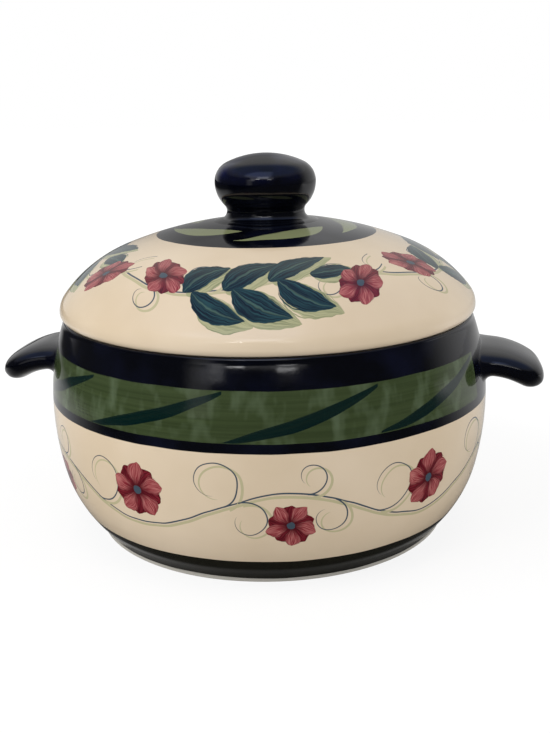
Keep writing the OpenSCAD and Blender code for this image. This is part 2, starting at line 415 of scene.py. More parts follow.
# Lug handles: sections along a drooping middle line, flared into the wall
def lug_handle(name, glaze, side):
    """A closed, smooth lug on the +X side, or turned half round for side -1."""
    root_r = arc_r(upper_centre, upper_curve, handle_z)
    tip_round = handle_t / 2 * tip_length
    # Depth of the root in the wall, and the length over which the wall's curve fades from the sections
    buried = 1.5
    settle = 14
    # Points round a section, sections along the fillet, length and tip, and how much of the tip they reach
    ring_points = 64
    fillet_steps = 8
    length_steps = 10
    tip_steps = 24
    tip_share = 0.9995

    def squared(x):
        """A cosine or sine, pushed out towards a rounded square."""
        return abs(x) ** (2 / section_power) * (1 if x >= 0 else -1)

    def left_of(radius, s):
        """What is left of a rounded end at a distance along the handle."""
        return sqrt(max(radius ** 2 - max(s - handle_l + radius, 0) ** 2, 0))

    def ring(s):
        """One section, at a distance from the wall along the drooping middle line."""
        lean = max(s, 0) / handle_curve
        flare = handle_fillet - sqrt(handle_fillet ** 2 - max(handle_fillet - max(s, 0), 0) ** 2)
        half_w = handle_w / 2 - handle_corner + left_of(handle_corner, s) + side_flare * flare
        half_t = handle_t / 2 * left_of(tip_round, s) / tip_round
        hug = max(1 - max(s, 0) / settle, 0) ** 2
        points = []
        for i in range(ring_points):
            angle = 2 * pi * i / ring_points
            up = squared(sin(angle))
            rise = up * (half_t + (1 if up < 0 else top_flare) * flare)
            y = squared(cos(angle)) * half_w
            z = handle_z - handle_curve * (1 - cos(lean)) + rise * cos(lean)
            x = root_r + min(s, 0) + handle_curve * sin(lean) + rise * sin(lean)
            wall_x = sqrt(arc_r(upper_centre, upper_curve, z) ** 2 - y ** 2)
            points.append(Vector((x + hug * (wall_x - root_r), y, z)) * MM)
        return points

    corner_start = handle_l - handle_corner
    middle_l = corner_start - handle_fillet
    quarter = pi / 2
    stops = [-buried]
    stops += [handle_fillet * (1 - cos(quarter * i / fillet_steps)) for i in range(fillet_steps + 1)]
    stops += [handle_fillet + middle_l * i / length_steps for i in range(1, length_steps + 1)]
    stops += [corner_start + handle_corner * tip_share * sin(quarter * i / tip_steps)
              for i in range(1, tip_steps + 1)]
    shape = bmesh.new()
    rings = [[shape.verts.new(point) for point in ring(s)] for s in stops]
    for low, high in zip(rings, rings[1:]):
        for i in range(ring_points):
            j = (i + 1) % ring_points
            shape.faces.new((low[i], low[j], high[j], high[i]))
    for end in (rings[0], rings[-1]):
        shape.faces.new(end)
    bmesh.ops.recalc_face_normals(shape, faces=shape.faces)
    bmesh.ops.triangulate(shape, faces=[f for f in shape.faces if len(f.verts) > 4])
    for face in shape.faces:
        face.smooth = True
    mesh = bpy.data.meshes.new(name)
    shape.to_mesh(mesh)
    shape.free()
    if side < 0:
        mesh.transform(Matrix.Rotation(pi, 4, "Z"))
    mesh.materials.append(glaze)
    return new_object(name, mesh)


# Brushwork: node groups that say where a stroke lies on the pot, in millimetres. Paint's edge is this soft.
EDGE = 0.18


def gap(tree, value, middle):
    """How far a value lies from a middle one."""
    off = add(tree, "SUBTRACT", value, middle)
    return add(tree, "ABSOLUTE", off)


def cover_of(tree, room, used):
    """Cover where the room is more than what is used, with a soft edge."""
    left = add(tree, "SUBTRACT", room, used)
    return add(tree, "DIVIDE", left, EDGE, use_clamp=True)


def turned_place(tree, given, centre, angle):
    """A motif's place as seen from its centre, turned back by its angle."""
    place = add(tree, VECTOR, given["Place"], given[centre], operation="SUBTRACT")
    angle = add(tree, "RADIANS", given[angle])
    return add(tree, "ShaderNodeVectorRotate", {"Vector": place, "Angle": angle}, rotation_type="Z_AXIS",
               invert=True)


def pot_place_tree():
    """Turns round the axis, distance from it and height."""
    tree, _ = new_tree("Place on the pot", {}, {"Float": "Turn, Radius, Height"})
    place = add(tree, COORDS).outputs["Object"]
    place = add(tree, VECTOR, {0: place, "Scale": 1 / MM}, operation="SCALE")
    part = add(tree, SPLIT, place).outputs
    turn = add(tree, "ARCTAN2", part["Y"], part["X"])
    turn = add(tree, "DIVIDE", turn, 2 * pi)
    flat = add(tree, VECTOR, place, (1, 1, 0), operation="MULTIPLY")
    radius = add(tree, VECTOR, flat, operation="LENGTH")
    add(tree, "NodeGroupOutput", {"Turn": turn, "Radius": radius, "Height": part["Z"]})
    return tree


def repeat_tree():
    """A motif's own place, when it is repeated so many times round the pot."""
    tree, given = new_tree("Repeat round", {"Float": "Turn, Radius, Upward, Count, Start"},
                           {"Vector": "Place", "Float": "Phase"})
    phase = add(tree, "MULTIPLY_ADD", given["Turn"], given["Count"], given["Start"])
    share = add(tree, "WRAP", phase, 0.5, -0.5)
    pitch = add(tree, "DIVIDE", 2 * pi, given["Count"])
    pitch = add(tree, "MULTIPLY", pitch, given["Radius"])
    x = add(tree, "MULTIPLY", share, pitch)
    place = add(tree, JOIN, x, given["Upward"])
    add(tree, "NodeGroupOutput", {"Place": place, "Phase": phase})
    return tree


def brush_stroke_tree():
    """One stroke of a loaded brush: swelling, bent, and streaked by its hairs."""
    tree, given = new_tree(
        "Brush stroke",
        {"Vector": "Place, From", "Float": "Angle, Length, Width, Bend, Peak, Seed"},
        {"Float": "Cover, Along, Across, Streak"})
    part = add(tree, SPLIT, turned_place(tree, given, "From", "Angle")).outputs
    along = add(tree, "DIVIDE", part["X"], given["Length"], use_clamp=True)
    # It bows aside by its bend at the middle, and swells to its width at the peak
    left = add(tree, "SUBTRACT", 1.0, along)
    arch = add(tree, "MULTIPLY", along, left)
    arch = add(tree, "MULTIPLY", arch, given["Bend"])
    aside = add(tree, "MULTIPLY_ADD", arch, -4.0, part["Y"])
    swell = add(tree, "POWER", along, given["Peak"])
    swell = add(tree, "MULTIPLY", swell, pi)
    swell = add(tree, "SINE", swell, use_clamp=True)
    swell = add(tree, "POWER", swell, 0.8)
    half = add(tree, "MULTIPLY", given["Width"], 0.5)
    half = add(tree, "MULTIPLY", half, swell)
    off = add(tree, "ABSOLUTE", aside)
    safe = add(tree, "MAXIMUM", half, EDGE)
    across = add(tree, "DIVIDE", aside, safe)
    # The brush's hairs leave streaks along it, and a ragged edge
    hairs = add(tree, JOIN, along, across, given["Seed"])
    hairs = add(tree, VECTOR, hairs, (1.6, 9.0, 9.0), operation="MULTIPLY")
    streak = add(tree, NOISE, {"Vector": hairs, "Scale": 1.0, "Detail": 2.0})
    ragged = add(tree, RANGE, streak, 0.3, 0.7, 0.86, 1.1)
    room = add(tree, "MULTIPLY", half, ragged)
    cover = cover_of(tree, room, off)
    add(tree, "NodeGroupOutput", {"Cover": cover, "Along": along, "Across": across, "Streak": streak})
    return tree


def curl_tree():
    """A thin tendril that turns in on itself and thins to its tip."""
    tree, given = new_tree(
        "Curl",
        {"Vector": "Place, Centre", "Float": "Radius, Start, Sweep, Side, Width"}, {"Float": "Cover"})
    place = turned_place(tree, given, "Centre", "Start")
    part = add(tree, SPLIT, place).outputs
    rise = add(tree, "MULTIPLY", part["Y"], given["Side"])
    angle = add(tree, "ARCTAN2", rise, part["X"])
    angle = add(tree, "WRAP", angle, 2 * pi, 0.0)
    sweep = add(tree, "RADIANS", given["Sweep"])
    along = add(tree, "DIVIDE", angle, sweep)
    # It ends at half its radius
    lost = add(tree, "MULTIPLY", along, 0.5)
    kept = add(tree, "SUBTRACT", 1.0, lost)
    radius = add(tree, "MULTIPLY", kept, given["Radius"])
    distance = add(tree, VECTOR, place, operation="LENGTH")
    off = gap(tree, distance, radius)
    left = add(tree, "SUBTRACT", 1.0, along, use_clamp=True)
    half = add(tree, "POWER", left, 0.4)
    half = add(tree, "MULTIPLY", half, given["Width"])
    half = add(tree, "MULTIPLY", half, 0.5)
    add(tree, "NodeGroupOutput", {"Cover": cover_of(tree, half, off)})
    return tree


def running_stem_tree():
    """A line that waves evenly round the pot."""
    tree, given = new_tree("Running stem", {"Float": "Phase, Upward, Pitch, Wave, Width"},
                           {"Float": "Cover"})
    angle = add(tree, "MULTIPLY", given["Phase"], 2 * pi)
    wave = add(tree, "SINE", angle)
    wave = add(tree, "MULTIPLY", wave, given["Wave"])
    slope = add(tree, "COSINE", angle)
    slope = add(tree, "MULTIPLY", slope, given["Wave"])
    slope = add(tree, "DIVIDE", slope, given["Pitch"])
    slope = add(tree, "MULTIPLY", slope, 2 * pi)
    slant = add(tree, "MULTIPLY_ADD", slope, slope, 1.0)
    slant = add(tree, "SQRT", slant)
    off = gap(tree, given["Upward"], wave)
    off = add(tree, "DIVIDE", off, slant)
    half = add(tree, "MULTIPLY", given["Width"], 0.5)
    add(tree, "NodeGroupOutput", {"Cover": cover_of(tree, half, off)})
    return tree


def rosette_tree(stroke):
    """An open flower: a dark ring of petals, a lighter one over it, and an eye. A petal is one stroke."""
    tree, given = new_tree("Rosette", {"Vector": "Place, Centre", "Float": "Size, Turned, Seed"},
                           {"Float": "Cover", "Color": "Colour"})
    petals = 5
    wedge = 2 * pi / petals
    # Shares of the flower's size: how far a petal bends, and the eye
    bend_share = 0.09
    eye_share = 0.15
    place = add(tree, VECTOR, given["Place"], given["Centre"], operation="SUBTRACT")
    part = add(tree, SPLIT, place).outputs
    around = add(tree, "ARCTAN2", part["Y"], part["X"])
    turned = add(tree, "RADIANS", given["Turned"])
    distance = add(tree, VECTOR, place, operation="LENGTH")
    colour, cover = PETAL_DEEP, 0.0
    # Each ring's turn in petals, its reach and breadth as shares of the size, and its two colours
    rings = ((0.5, 0.88, 0.66, PETAL_DEEP, PETAL), (0.0, 0.95, 0.62, PETAL, PETAL_PALE))
    for ring, (step, reach, breadth, dark, light) in enumerate(rings):
        start = add(tree, "ADD", turned, step * wedge)
        angle = add(tree, "SUBTRACT", around, start)
        petal = add(tree, "DIVIDE", angle, wedge)
        petal = add(tree, "ROUND", petal)
        seed = add(tree, "ADD", petal, given["Seed"])
        seed = add(tree, "ADD", seed, 11.0 * ring)
        angle = add(tree, "WRAP", angle, wedge / 2, -wedge / 2)
        x = add(tree, "COSINE", angle)
        y = add(tree, "SINE", angle)
        own = add(tree, JOIN, x, y)
        own = add(tree, VECTOR, {0: own, "Scale": distance}, operation="SCALE")
        length = add(tree, "MULTIPLY", given["Size"], reach)
        width = add(tree, "MULTIPLY", given["Size"], breadth)
        bend = add(tree, "MULTIPLY", given["Size"], bend_share)
        blade = add(tree, GROUP, {"Place": own, "Length": length, "Width": width, "Bend": bend, "Peak": 1.7,
                                  "Seed": seed}, node_tree=stroke).outputs
        tone = add(tree, RANGE, blade["Streak"], 0.4, 0.66)
        tint = add(tree, MIX, tone, dark, light, **COLOURS)
        # Darker along its edge and towards the flower's heart
        rim = add(tree, "ABSOLUTE", blade["Across"])
        rim = add(tree, "POWER", rim, 5.0, use_clamp=True)
        rim = add(tree, "MULTIPLY", rim, 0.7)
        tint = add(tree, MIX, rim, tint, PETAL_DEEP, **COLOURS)
        heart = add(tree, RANGE, blade["Along"], 0.5, 0.15)
        tint = add(tree, MIX, heart, tint, PETAL_DEEP, **COLOURS)
        colour = add(tree, MIX, blade["Cover"], colour, tint, **COLOURS)
        cover = add(tree, "MAXIMUM", blade["Cover"], cover)
    eye_size = add(tree, "MULTIPLY", given["Size"], eye_share)
    eye = cover_of(tree, eye_size, distance)
    colour = add(tree, MIX, eye, colour, LINE_BLUE, **COLOURS)
    cover = add(tree, "MAXIMUM", cover, eye)
    add(tree, "NodeGroupOutput", {"Cover": cover, "Colour": colour})
    return tree


def leaf_tree(stroke):
    """A leaf in one broad stroke, streaked by the brush, with a faint midrib."""
    tree, given = new_tree(
        "Leaf",
        {"Vector": "Place, From", "Float": "Angle, Length, Width, Bend, Seed",
         "Color": "Dark, Light, Vein"},
        {"Float": "Cover", "Color": "Colour"})
    shape = {label: given[label] for label in ("Place", "From", "Angle", "Length", "Width", "Bend", "Seed")}
    blade = add(tree, GROUP, {"Peak": 0.8, **shape}, node_tree=stroke).outputs
    tone = add(tree, RANGE, blade["Streak"], 0.4, 0.7)
    colour = add(tree, MIX, tone, given["Dark"], given["Light"], **COLOURS)
    off = add(tree, "ABSOLUTE", blade["Across"])
    midrib = add(tree, RANGE, off, 0.02, 0.12, 0.4, 0.0)
    colour = add(tree, MIX, midrib, colour, given["Vein"], **COLOURS)
    add(tree, "NodeGroupOutput", {"Cover": blade["Cover"], "Colour": colour})
    return tree


# Glaze colours
CREAM = srgb("#DDCBB2")
CREAM_SHADE = srgb("#D6C3A8")
NAVY = srgb("#03040A")
NAVY_BLUER = srgb("#0A0D1E")
COBALT = srgb("#10153A")
GREEN = srgb("#3D492D")
GREEN_THIN = srgb("#64735A")
GREEN_DARK = srgb("#323D24")
TEAL = srgb("#041A1A")
SAGE = srgb("#7E8460")
OLIVE = srgb("#AEAC86")
LINE_BLUE = srgb("#414E5A")
LINE_OLIVE = srgb("#BAB28F")
LEAF_DARK = srgb("#0C1A24")
LEAF_LIGHT = srgb("#274A4E")
LEAF_VEIN = srgb("#5F7A68")
PETAL_DEEP = srgb("#4A0F18")
PETAL = srgb("#7E232E")
PETAL_PALE = srgb("#BE7672")
FOOT_BAND = srgb("#1A1912")
CLAY = srgb("#BDB9B0")
SKY_BLUE = srgb("#A9BCF0")

place_tree = pot_place_tree()
repeat = repeat_tree()
stroke = brush_stroke_tree()
curl = curl_tree()
stem = running_stem_tree()
rosette = rosette_tree(stroke)
leaf = leaf_tree(stroke)


def clouds(tree, size, detail):
    """An uneven field over the clay, with patches of about a size."""
    spot = add(tree, COORDS).outputs["Object"]
    return add(tree, NOISE, {"Vector": spot, "Scale": 1 / (size * MM), "Detail": detail})


def finish_glaze(tree, colour, bare):
    """Clear gloss over the paint with a faint orange peel, and dry, gritty clay where it is bare."""
    # Depth of the relief, and the roughness of the wettest and dullest gloss and of dry clay
    relief_h = 0.3
    wet = 0.05
    dull = 0.11
    dry = 0.85
    peel = clouds(tree, size=2.2, detail=1.0)
    grit = clouds(tree, size=0.5, detail=2.0)
    relief = add(tree, MIX, bare, peel, grit)
    depth = add(tree, RANGE, bare, 0.0, 1.0, 0.05, 0.35)
    bump = add(tree, "ShaderNodeBump", {"Strength": depth, "Distance": relief_h * MM, "Height": relief})
    gloss = clouds(tree, size=30, detail=2.0)
    gloss = add(tree, RANGE, gloss, 0.3, 0.7, wet, dull)
    rough = add(tree, MIX, bare, gloss, dry)
    shader = add(tree, "ShaderNodeBsdfPrincipled",
                 {"Base Color": colour, "Roughness": rough, "Normal": bump, "IOR": 1.52})
    add(tree, "ShaderNodeOutputMaterial", {"Surface": shader})


def cream_ground(tree):
    """Cream tin glaze: nearly even, a little warmer where it lies thin."""
    cloud = clouds(tree, size=45, detail=3.0)
    cloud = add(tree, RANGE, cloud, 0.35, 0.65)
    return add(tree, MIX, cloud, CREAM, CREAM_SHADE, **COLOURS)


def shaky(tree, place, amount, size):
    """A place on the pot, moved a little as an unsteady hand would."""
    shake = clouds(tree, size, detail=1.0).outputs["Color"]
    shake = add(tree, VECTOR, shake, (0.5, 0.5, 0.5), operation="SUBTRACT")
    return add(tree, VECTOR, shake, (amount, amount, 0), place, operation="MULTIPLY_ADD")


def round_the_pot(tree, at, upward, count, start=0.0):
    """The place and phase of a motif that is repeated so many times round the pot."""
    return add(tree, GROUP, {"Turn": at["Turn"], "Radius": at["Radius"], "Upward": upward, "Count": count,
                             "Start": start}, node_tree=repeat).outputs


# Painters, each over the colour so far
def paint_runner(tree, colour, at, upward, count, start, radius, wave, curls, widths):
    """A waving stem and its curls, in thin lines over wider, paler ones, and the place for what follows.
    A curl has its place across and up, radius, start, sweep and way round."""
    shade_x = 2.2
    shade_y = 1.6
    pale_w, thin_w = widths
    pitch = 2 * pi * radius / count
    cell = round_the_pot(tree, at, upward, count, start)
    place = shaky(tree, cell["Place"], amount=2.5, size=18)
    drawn = add(tree, SPLIT, place).outputs["Y"]
    shade = add(tree, "ADD", drawn, shade_y)
    for height, width, tint in ((shade, pale_w, LINE_OLIVE), (drawn, thin_w, LINE_BLUE)):
        cover = add(tree, GROUP, {"Phase": cell["Phase"], "Upward": height, "Pitch": pitch, "Wave": wave,
                                  "Width": width}, node_tree=stem)
        colour = add(tree, MIX, cover, colour, tint, **COLOURS)
    aside = (shade_x, -shade_y, 0)
    for width, tint, shift in ((pale_w, LINE_OLIVE, aside), (thin_w, LINE_BLUE, (0, 0, 0))):
        spot = add(tree, VECTOR, place, shift, operation="SUBTRACT")
        for x, y, curl_r, turn, sweep, side in curls:
            cover = add(tree, GROUP, {"Place": spot, "Centre": (x, y, 0), "Radius": curl_r, "Start": turn,
                                      "Sweep": sweep, "Side": side, "Width": width}, node_tree=curl)
            colour = add(tree, MIX, cover, colour, tint, **COLOURS)
    return colour, shaky(tree, place, amount=1.6, size=4)


def paint_leaves(tree, colour, place, leaves, dark, light, vein):
    """Leaves, each with its place across and up, angle, length, width and bend."""
    for number, (x, y, angle, length, width, bend) in enumerate(leaves):
        blade = add(tree, GROUP, {"Place": place, "From": (x, y, 0), "Angle": angle, "Length": length,
                                  "Width": width, "Bend": bend, "Seed": number, "Dark": dark,
                                  "Light": light, "Vein": vein}, node_tree=leaf).outputs
        colour = add(tree, MIX, blade["Cover"], colour, blade["Colour"], **COLOURS)
    return colour


def paint_rosettes(tree, colour, place, rosettes):
    """Flowers, each with its place across and up, size and turn."""
    for number, (x, y, size, turned) in enumerate(rosettes):
        flower = add(tree, GROUP, {"Place": place, "Centre": (x, y, 0), "Size": size, "Turned": turned,
                                   "Seed": 7 * number}, node_tree=rosette).outputs
        colour = add(tree, MIX, flower["Cover"], colour, flower["Colour"], **COLOURS)
    return colour


def paint_band(tree, colour, value, low, high, tint):
    """A band between two heights or radii."""
    cover = add(tree, "MULTIPLY", cover_of(tree, value, low), cover_of(tree, high, value))
    return add(tree, MIX, cover, colour, tint, **COLOURS)


def wheel_line(tree, value):
    """A height or radius, uneven as a band that is drawn on a turning wheel."""
    spot = add(tree, COORDS).outputs["Object"]
    spot = add(tree, VECTOR, spot, (1, 1, 0.2), operation="MULTIPLY")
    waver_mm = 40
    waver = add(tree, NOISE, {"Vector": spot, "Scale": 1 / (waver_mm * MM), "Detail": 2.0})
    waver = add(tree, "SUBTRACT", waver, 0.5)
    return add(tree, "MULTIPLY_ADD", waver, band_waver, value)


def navy_coat(tree, bluer_tint=NAVY_BLUER):
    """Deep navy, close to black, bluer where the brush left it thin."""
    coat = clouds(tree, size=22, detail=3.0)
    coat = add(tree, RANGE, coat, 0.45, 0.75)
    return add(tree, MIX, coat, NAVY, bluer_tint, **COLOURS)


def green_coat(tree, turn, height):
    """Green in wheel-drawn rings, with paler upright dabs where the brush ran dry."""
    around = add(tree, "MULTIPLY", turn, 2 * pi)
    ring_x = add(tree, "COSINE", around)
    ring_y = add(tree, "SINE", around)
    rings = add(tree, JOIN, ring_x, ring_y, height)
    # Rings about 1.1 mm apart up the wall, and dabs about 7 mm wide and 14 mm tall
    fine = add(tree, VECTOR, rings, (1.2, 1.2, 0.9), operation="MULTIPLY")
    fine = add(tree, NOISE, {"Vector": fine, "Scale": 1.0, "Detail": 3.0})
    fine = add(tree, RANGE, fine, 0.35, 0.7)
    colour = add(tree, MIX, fine, GREEN_DARK, GREEN, **COLOURS)
    dabs = add(tree, VECTOR, rings, (15, 15, 0.07), operation="MULTIPLY")
    dabs = add(tree, NOISE, {"Vector": dabs, "Scale": 1.0, "Detail": 2.0})
    dabs = add(tree, RANGE, dabs, 0.5, 0.75, 0.0, 0.5)
    return add(tree, MIX, dabs, colour, GREEN_THIN, **COLOURS)


def painted_dish_glaze(ends):
    """Tin-glazed pottery, hand-painted: wet gloss over bands, brush strokes and a running vine."""
    glaze, tree = new_material("painted_tin_glaze_dish")
    at = add(tree, GROUP, node_tree=place_tree).outputs
    along = add(tree, "ShaderNodeAttribute", attribute_name="along").outputs["Fac"]
    colour = cream_ground(tree)

    # Running vine on the belly, measured up the wall from the middle of the cream
    vine_rise = 9
    upward = add(tree, "SUBTRACT", along, ends["base"] + vine_rise)
    curls = [(-54.9, 8.4, 13, -113, 340, 1), (3.3, 14.6, 12, -67, 340, 1), (17.5, -3.4, 10, 110, 320, -1),
             (52.7, -3.1, 9, 69, 320, -1), (45.6, 16.8, 8, -102, 330, 1)]
    colour, place = paint_runner(tree, colour, at, upward, count=5, start=0.35, radius=108, wave=10,
                                 curls=curls, widths=(1.5, 0.9))
    colour = paint_rosettes(tree, colour, place, [(-33, 6, 14, 15), (36, -6, 12, 50)])

    # Bands, from the rim down
    height = wheel_line(tree, at["Height"])
    green = green_coat(tree, at["Turn"], at["Height"])
    colour = paint_band(tree, colour, height, green_low - 1, navy_low + 1, green)
    slant = round_the_pot(tree, at, at["Height"], 10, start=0.083)
    place = shaky(tree, slant["Place"], amount=3, size=30)
    slash = add(tree, GROUP, {"Place": place, "From": (-37, green_low - 0.5, 0), "Angle": 17.0,
                              "Length": 78.0, "Width": 5.6, "Bend": -2.4, "Peak": 1.0, "Seed": 3.0},
                node_tree=stroke).outputs
    in_green = paint_band(tree, (0, 0, 0, 1), height, green_low, navy_low, (1, 1, 1, 1))
    cover = add(tree, "MULTIPLY", slash["Cover"], in_green)
    dry = add(tree, RANGE, slash["Streak"], 0.45, 0.75, 0.0, 0.2)
    teal = add(tree, MIX, dry, TEAL, GREEN, **COLOURS)
    colour = add(tree, MIX, cover, colour, teal, **COLOURS)
    navy = navy_coat(tree)
    colour = paint_band(tree, colour, height, navy_low, rim_z + 5, navy)
    colour = paint_band(tree, colour, height, line_low, green_low, navy)

    # Navy over the wall round the handles' roots: above and below, beside, and with round corners
    root_rise = 4.5
    root_reach = 13
    root_corner = 5
    root = gap(tree, at["Height"], handle_z)
    root = add(tree, "SUBTRACT", root, handle_t / 2 + root_rise)
    lugs = round_the_pot(tree, at, 0.0, 2)
    beside = add(tree, SPLIT, lugs["Place"]).outputs["X"]
    beside = add(tree, "ABSOLUTE", beside)
    beside = add(tree, "SUBTRACT", beside, handle_w / 2 + root_reach)
    root = add(tree, "SMOOTH_MAX", root, beside, root_corner)
    root = add(tree, "MULTIPLY", root, -1 / EDGE, use_clamp=True)
    colour = add(tree, MIX, root, colour, navy, **COLOURS)
    colour = paint_band(tree, colour, height, -5, foot_band_top, FOOT_BAND)

    # Plain cream inside, and bare clay under the foot and on the rim's seat
    inside = add(tree, "GREATER_THAN", along, ends["rim"])
    colour = add(tree, MIX, inside, colour, cream_ground(tree), **COLOURS)
    foot = add(tree, "LESS_THAN", along, ends["base"])
    low = cover_of(tree, bare_clay_top, height)
    under = add(tree, "LESS_THAN", along, foot_r)
    bare = add(tree, "MAXIMUM", low, under)
    bare = add(tree, "MULTIPLY", bare, foot)
    on_rim = add(tree, "GREATER_THAN", along, ends["rim edge"])
    off_rim = add(tree, "LESS_THAN", along, ends["rim"])
    seat = add(tree, "MULTIPLY", on_rim, off_rim)
    bare = add(tree, "MAXIMUM", bare, seat)
    colour = add(tree, MIX, bare, colour, CLAY, **COLOURS)
    finish_glaze(tree, colour, bare)
    return glaze


def painted_lid_glaze(ends):
    """Tin-glazed pottery, hand-painted: wet gloss over a garland and a dark cap with pale dabs."""
    glaze, tree = new_material("painted_tin_glaze_lid")
    at = add(tree, GROUP, node_tree=place_tree).outputs
    along = add(tree, "ShaderNodeAttribute", attribute_name="along").outputs["Fac"]
    colour = cream_ground(tree)

    # Garland between the cap and the edge, measured up towards the crown
    garland_drop = 26
    upward = add(tree, "SUBTRACT", ends["shoulder"] - garland_drop, along)
    curls = [(54, 10.7, 8, -105, 340, 1), (30.4, -2.3, 8, 95, 330, -1), (-54, -10.7, 8, 75, 340, -1),
             (-25, 4.3, 10, -84, 330, 1)]
    colour, place = paint_runner(tree, colour, at, upward, count=4, start=0.944, radius=80, wave=6,
                                 curls=curls, widths=(1.7, 1.0))
    branch = [(-33, -6, 40, 27, 13, 3), (-29, -6, -30, 28, 13, -3), (-15, -4, 38, 30, 14, 3),
              (-11, -3, -32, 31, 14, -3), (4, 1, 34, 30, 13, 3), (8, 2, -34, 31, 14, -3),
              (22, 5, 2, 20, 11, 1)]
    # Each leaf lies on a paler one that is larger and a little aside
    shadow = [(x + 2, y - 2, angle, length * 1.06, width * 1.2, bend)
              for x, y, angle, length, width, bend in branch]
    colour = paint_leaves(tree, colour, place, shadow, OLIVE, SAGE, OLIVE)
    colour = paint_leaves(tree, colour, place, branch, LEAF_DARK, LEAF_LIGHT, LEAF_VEIN)
    colour = paint_rosettes(tree, colour, place, [(-44, 3, 13, 20), (46, -3, 13, 60)])

    # Dark cap with pale slanted dabs, and plain cream below
    radius = wheel_line(tree, at["Radius"])
    colour = paint_band(tree, colour, radius, -5, cap_r, navy_coat(tree))
    slant = round_the_pot(tree, at, at["Radius"], 5, start=0.906)
    place = shaky(tree, slant["Place"], amount=4, size=25)
    dab = add(tree, GROUP, {"Place": place, "From": (-31, 46, 0), "Angle": -13.0, "Length": 54.0,
                            "Width": 11.0, "Bend": 1.0, "Peak": 1.7, "Seed": 5.0}, node_tree=stroke)
    colour = add(tree, MIX, dab, colour, SAGE, **COLOURS)
    under = add(tree, "GREATER_THAN", along, ends["under edge"])
    colour = add(tree, MIX, under, colour, cream_ground(tree), **COLOURS)
    past = add(tree, "LESS_THAN", along, ends["seat"])
    bare = add(tree, "MULTIPLY", under, past)
    colour = add(tree, MIX, bare, colour, CLAY, **COLOURS)
    finish_glaze(tree, colour, bare)
    return glaze


def dipped_glaze(name, bluer_tint, lit_top_z):
    """Cobalt and iron glaze, dipped thick: near black with a wet gloss, and painted bluer above a height as
    painted light on the top.
    """
    glaze, tree = new_material(name)
    height = add(tree, GROUP, node_tree=place_tree).outputs["Height"]
    blur = 3
    # Painted light: bluer above the height, where light falls on the top
    high = add(tree, RANGE, height, lit_top_z - blur, lit_top_z + blur)
    colour = add(tree, MIX, high, NAVY, navy_coat(tree, bluer_tint), **COLOURS)
    finish_glaze(tree, colour, 0.0)
    return glaze


# Pieces
clay = turned_clay_tree()
dish_points, dish_ends = dish_half_section()
lid_points, lid_ends = lid_half_section()
knob_points, _ = knob_half_section()
# How the clay is thrown: points round it, how far and over what length it strays, and its ridges
thrown = {"Segments": 289, "Wobble": 0.5 * MM, "Wobble size": 60 * MM, "Ridge": 0.02 * MM,
          "Ridge spacing": 7.0}
thrown_small = {"Segments": 161, "Wobble": 0.4 * MM, "Wobble size": 30 * MM, "Ridge": 0.015 * MM,
                "Ridge spacing": 5.0}
painted_dish = painted_dish_glaze(dish_ends)
painted_lid = painted_lid_glaze(lid_ends)
# Handles and knob are painted bluer on top, as painted light
navy = dipped_glaze("navy_dipped_glaze", NAVY_BLUER, handle_z)
cobalt = dipped_glaze("cobalt_dipped_glaze", COBALT, knob_lit_top_z)
pieces = [
    (turned_piece("dish_bowl_painted", dish_points, clay, thrown, 1.0, painted_dish),
     "dish", "dish_bowl", "cream_glaze"),
    (turned_piece("lid_dome_painted", lid_points, clay, thrown, 2.0, painted_lid),
     "lid", "lid_dome", "cream_glaze"),
    (turned_piece("lid_knob_glazed", knob_points, clay, thrown_small, 3.0, cobalt),
     "lid", "lid_knob", "navy_glaze"),
    (lug_handle("handle_right_glazed", navy, 1), "dish", "handle_right", "navy_glaze"),
    (lug_handle("handle_left_glazed", navy, -1), "dish", "handle_left", "navy_glaze"),
]
for piece, body, node, slot in pieces:
    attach(piece, body)
    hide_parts(node)


# Floor, light and camera
def as_seen(tree, way):
    """How far a place or direction lies to the right and to the front, as the camera sees it."""
    turn = radians(camera_turn)
    axes = ((cos(turn), sin(turn), 0), (sin(turn), -cos(turn), 0))
    return [add(tree, VECTOR, way, axis, operation="DOT_PRODUCT") for axis in axes]


def seen_share(tree):
    """One for rays that show the surroundings as they are: straight from the camera or through glass."""
    rays = add(tree, "ShaderNodeLightPath").outputs
    return add(tree, "MAXIMUM", rays["Is Camera Ray"], rays["Is Transmission Ray"])


